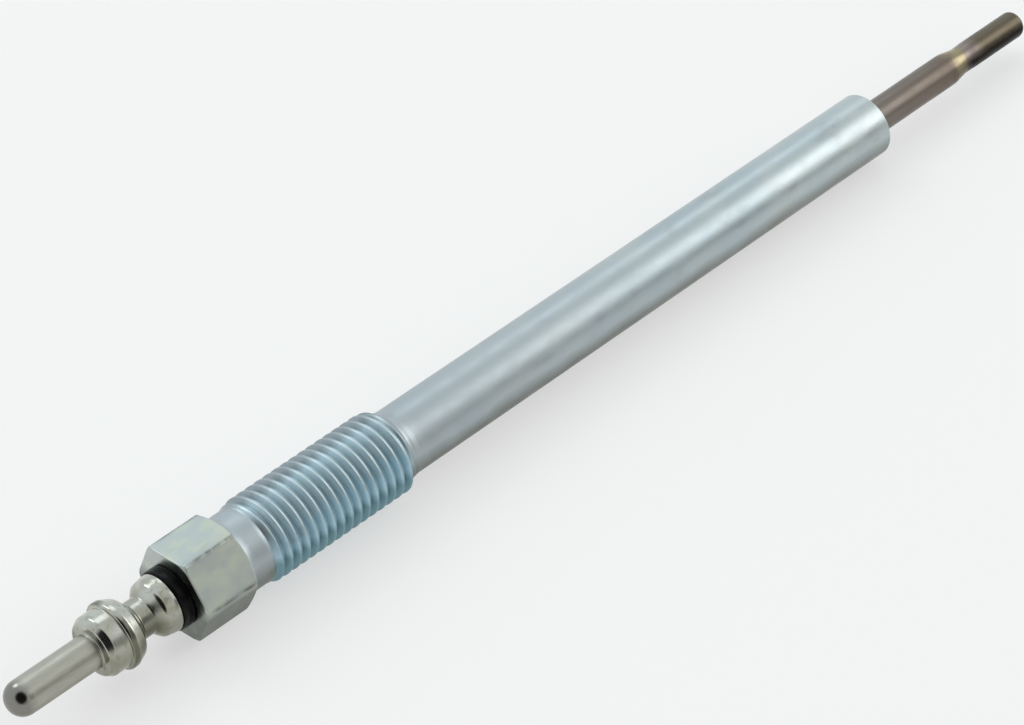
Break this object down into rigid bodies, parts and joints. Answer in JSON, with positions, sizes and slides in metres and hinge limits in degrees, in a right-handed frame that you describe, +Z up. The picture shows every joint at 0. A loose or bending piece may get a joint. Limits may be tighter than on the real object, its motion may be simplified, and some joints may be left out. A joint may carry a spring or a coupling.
{
  "type": "diesel glow plug",
  "caption": "Slim threaded diesel glow plug with a pin terminal, spanner hex, long plain shank and a metal-sheathed heater tip.",
  "frame": {"origin": "on the plug's axis at mid-length, which is the centre of its bounding box", "axes": "+X along the plug from the terminal pin to the heater tip; +Z up as the plug lies at rest on a table, one hex corner 21 degrees off straight down"},
  "size_m": [0.161, 0.0112, 0.0108],
  "materials": {
    "terminal": "bright nickel plating",
    "rod": "drawn steel",
    "washer": "moulded black",
    "o_ring": "moulded",
    "body": "satin zinc plating",
    "sheath": "heat-tinted",
    "seal": "moulded",
    "filling": "packed powder",
    "regulating_wire": "drawn wire",
    "heating_wire": "drawn wire"
  },
  "bodies": {
    "root": {"terminal_pin": "terminal", "connecting_rod": "rod", "insulating_washer": "washer", "o_ring": "o_ring", "body_shell": "body", "heater_sheath": "sheath", "sheath_seal": "seal", "magnesia_filling": "filling", "regulating_coil": "regulating_wire", "heating_coil": "heating_wire"}
  },
  "joints": []
}
